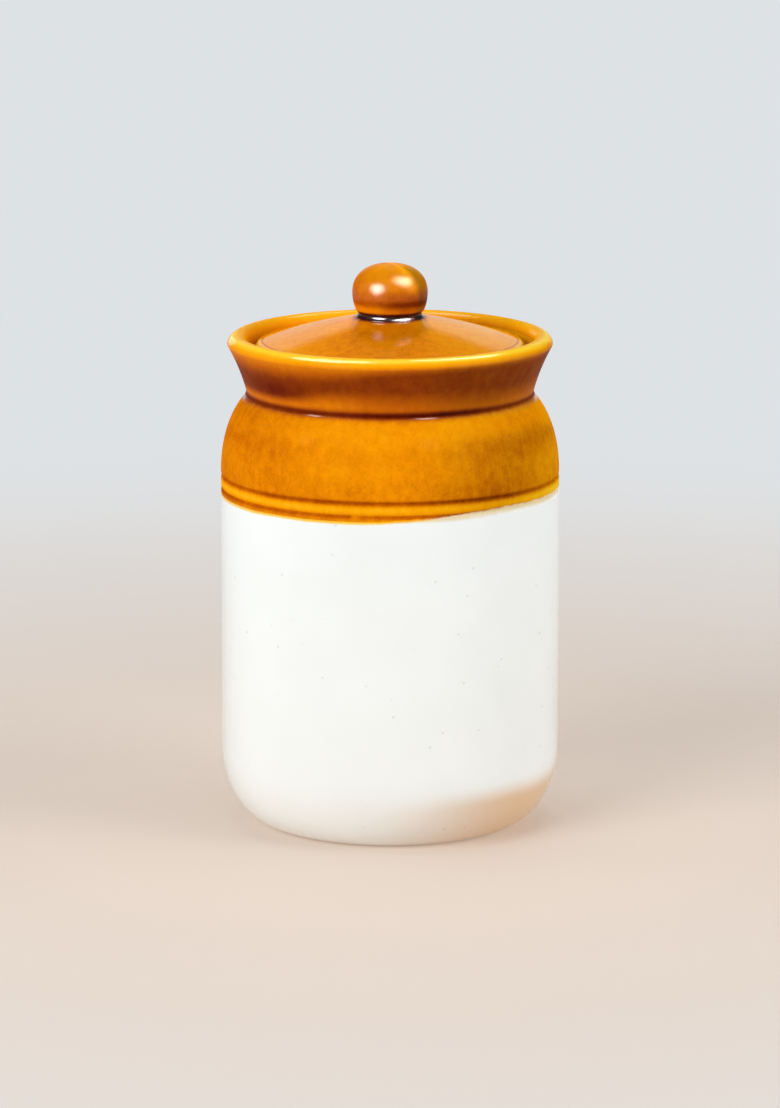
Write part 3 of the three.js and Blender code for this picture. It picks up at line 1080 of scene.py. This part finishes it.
# The studio
FLOOR_RADII = (6.0, 2.0, 0.8, 0.3, 0.1, 0.0)
FLOOR_DROP = 0.05 * MM
FLOOR_NEAR = display(232, 215, 200)
FLOOR_FAR = display(222, 226, 229)
FLOOR_EVEN_SHARE = 0.3
FLOOR_BOUNCE_SHARE = 0.5
FLOOR_WARMTH_REACH = (0.1, 0.9)
FLOOR_FADE_REACH = (0.15, 0.8)
FLOOR_ROUGHNESS = 0.55
FLOOR_ROUGHNESS_DRIFT = 0.1
FLOOR_GRAIN_SIZE = 2.0 * MM
FLOOR_RELIEF = 0.02 * MM
ROOM_COLOUR = display(250, 250, 251)
ROOM_LIGHT = 0.07
BACKDROP_LIGHT = 0.80
BACKDROP_SIDES = (0.06, 0.20)
BACKDROP_FRONT = (0.0, 0.3)
BACKDROP_TOP = (0.38, 0.50)
LAMP_COLOUR = display(249, 252, 255)[:3]
PANEL_DISTANCE = 2.2
LIP_LAMP_DISTANCE = 2.0
NEAR_LAMP_DISTANCE = 1.2
GLINT_CORE_DISTANCE = 1.1


def plain_floor():
    """A wide pale disc, warm near the jar, that fades into an even pale grey far away.

    Part of what the camera and gloss see of it, and of the light it sends up, is even.
    """
    radius = np.array(FLOOR_RADII)[:, None]
    height = np.full_like(radius, -FLOOR_DROP)
    floor = turned_mesh("studio_floor", radius, height, {})
    finish = Finish(bpy.data.materials.new("pale_floor"))
    length = {"operation": "LENGTH"}
    away = finish.node("ShaderNodeVectorMath", length, {0: finish.place()}, output="Value")
    grain = finish.noise(FLOOR_GRAIN_SIZE)
    colour = finish.mix(away.rise(*FLOOR_WARMTH_REACH), FLOOR_NEAR, FLOOR_FAR)
    roughness = FLOOR_ROUGHNESS + FLOOR_ROUGHNESS_DRIFT * grain
    lit = finish.surface(colour, roughness, grain, FLOOR_RELIEF, WHITE_SPECULAR)
    even = finish.node("ShaderNodeEmission", sockets={"Color": colour})
    rays = ("Camera", "Glossy", "Diffuse")
    seen, mirrored, bounced = (
        finish.node("ShaderNodeLightPath", output=f"Is {ray} Ray") for ray in rays
    )
    fading = FLOOR_EVEN_SHARE + (1.0 - FLOOR_EVEN_SHARE) * away.rise(*FLOOR_FADE_REACH)
    share = fading * (seen + mirrored) + FLOOR_BOUNCE_SHARE * bounced
    surface = finish.node("ShaderNodeMixShader", sockets={0: share, 1: lit, 2: even})
    floor.data.materials.append(finish.done(surface))
    return floor


def studio_world():
    """A dim room with a tall pale backdrop behind the jar, dim to the sides, in front and overhead."""
    finish = Finish(bpy.data.worlds.new("pale_room"))
    bpy.context.scene.world = finish.owner
    towards = finish.node("ShaderNodeTexCoord", output="Generated")
    split = {"Vector": towards}
    across, back, up = (
        finish.node("ShaderNodeSeparateXYZ", sockets=split, output=axis) for axis in "XYZ"
    )
    middle = 1.0 - (across * across).rise(*BACKDROP_SIDES)
    backdrop = middle * back.rise(*BACKDROP_FRONT) * (1.0 - up.rise(*BACKDROP_TOP))
    strength = ROOM_LIGHT + BACKDROP_LIGHT * backdrop
    sockets = {"Color": ROOM_COLOUR, "Strength": strength}
    light = finish.node("ShaderNodeBackground", sockets=sockets)
    finish.node("ShaderNodeOutputWorld", sockets={"Surface": light})


def lamp(name, direction, distance, size, power, pieces=None, mirrored=False):
    """A round lamp that faces the middle of the jar, for all pieces or for some.

    A mirrored lamp shows only in gloss, and any other only in diffuse light.
    """
    light = bpy.data.lights.new(name, "AREA")
    light.shape = "DISK"
    light.size = size
    light.energy = power
    light.color = LAMP_COLOUR
    holder = bpy.data.objects.new(name, light)
    towards = Vector(direction).normalized()
    holder.location = CAMERA_AIM + towards * distance
    holder.rotation_euler = towards.to_track_quat("Z", "Y").to_euler()
    holder.visible_camera = False
    holder.visible_diffuse = not mirrored
    holder.visible_glossy = mirrored
    if pieces is not None:
        receivers = bpy.data.collections.new(name)
        for piece in pieces:
            receivers.objects.link(piece)
        holder.light_linking.receiver_collection = receivers
    bpy.context.scene.collection.objects.link(holder)


def studio_lamps(floor, body, shoulder, collar, lid, knob):
    """Broad soft panels all round, and round lamps that only some pieces mirror.

    The lid and its knob have their panel behind them, so that the knob shades the front of the
    lid. Each glint on the knob has a dim rim and a bright core. Rows give a name, a direction, a
    size, a power and the pieces, where they are not all pieces.
    """
    jar = (body, shoulder, collar)
    for name, direction, size, power, pieces in (
        ("soft_panel_left", (-0.62, -0.72, 0.44), 1.6, 39.0, None),
        ("soft_panel_right", (0.85, -0.40, 0.40), 1.4, 25.5, None),
        ("soft_panel_above", (0.0, 0.10, 1.0), 1.6, 18.0, (floor, *jar)),
        ("soft_panel_behind", (0.0, 0.72, 0.69), 0.5, 36.0, (lid, knob)),
        ("soft_panel_back", (0.0, 0.95, 0.30), 1.6, 14.0, jar),
        ("side_panel_left", (-0.98, 0.20, 0.30), 1.2, 7.0, None),
        ("side_panel_right", (0.98, 0.20, 0.30), 1.2, 9.0, None),
    ):
        lamp(name, direction, PANEL_DISTANCE, size, power, pieces)
    left, right = (-0.603, -0.675, 0.424), (0.508, -0.277, 0.816)
    for name, direction, distance, size, power, piece in (
        ("glint_rim_left", left, NEAR_LAMP_DISTANCE, 1.00, 89.0, knob),
        ("glint_core_left", left, GLINT_CORE_DISTANCE, 0.50, 31.0, knob),
        ("glint_rim_right", right, NEAR_LAMP_DISTANCE, 1.10, 84.0, knob),
        ("glint_core_right", right, GLINT_CORE_DISTANCE, 0.57, 34.0, knob),
        ("lip_lamp_left", (-0.37, 0.05, 0.93), LIP_LAMP_DISTANCE, 1.15, 100.0, collar),
        ("lip_lamp_right", (0.29, 0.40, 0.87), LIP_LAMP_DISTANCE, 0.90, 42.0, collar),
        ("lip_lamp_back", (-0.36, 0.92, 0.16), LIP_LAMP_DISTANCE, 0.60, 2.6, collar),
        ("crease_lamp_left", (-0.779, -0.353, 0.520), NEAR_LAMP_DISTANCE, 0.22, 1.6, shoulder),
        ("crease_lamp_right", (0.415, -0.685, 0.600), NEAR_LAMP_DISTANCE, 0.30, 2.4, shoulder),
    ):
        lamp(name, direction, distance, size, power, (piece,), mirrored=True)


def photo_camera():
    """The camera of the photograph: a long lens, 11.5 degrees above the table's level."""
    camera = bpy.data.cameras.new("photo_camera")
    camera.sensor_width = SENSOR_SIZE
    camera.lens = FOCAL_PIXELS * SENSOR_SIZE / IMAGE_HEIGHT
    holder = bpy.data.objects.new("photo_camera", camera)
    back = Vector((0.0, -math.cos(CAMERA_ELEVATION), math.sin(CAMERA_ELEVATION)))
    holder.location = CAMERA_AIM + back * CAMERA_DISTANCE
    holder.rotation_euler = back.to_track_quat("Z", "Y").to_euler()
    bpy.context.scene.collection.objects.link(holder)
    bpy.context.scene.camera = holder


# Finishes, with how uneven each one's amber is
body_finish = dipped_finish("white_stoneware", WHITE_SPECULAR, 1.0)
shoulder_finish = dipped_finish("dipped_shoulder", AMBER_SPECULAR, 1.2)
collar_finish = dipped_finish("dipped_collar", AMBER_SPECULAR, 0.5)
lid_finish = amber_finish("amber_lid", 1.2, LID_BLUR, JAR_SMOKE)
knob_finish = amber_finish("amber_knob", 0.8, KNOB_BLUR, KNOB_SMOKE)

# The jar, its lid and the studio
body = jar_piece("white_lower_body", "lower_body", lower_body_outline(), body_finish)
shoulder = jar_piece(
    "grooved_shoulder", "shoulder", shoulder_outline(), shoulder_finish, closed=True
)
collar = jar_piece(
    "flared_collar", "collar", collar_outline(), collar_finish, closed=True
)
lid_column = lid_outline().columns()
# Painted reflection on the lid's sides, and painted shade on its right
lid = lid_piece("domed_lid", "lid", lid_column, lid_finish, lid_drift(), lid_smoke())
knob_column = knob_outline().columns()
# The knob's drift holds painted shade low on its right
ball_drift = knob_drift(knob_column["height"])
# Painted shade on the right of the knob
ball_smoke = knob_smoke(knob_column["radius"])
knob = lid_piece("ball_knob", "lid_knob", knob_column, knob_finish, ball_drift, ball_smoke)
floor = plain_floor()
studio_world()
studio_lamps(floor, body, shoulder, collar, lid, knob)
photo_camera()
bpy.context.scene.view_settings.view_transform = "Standard"
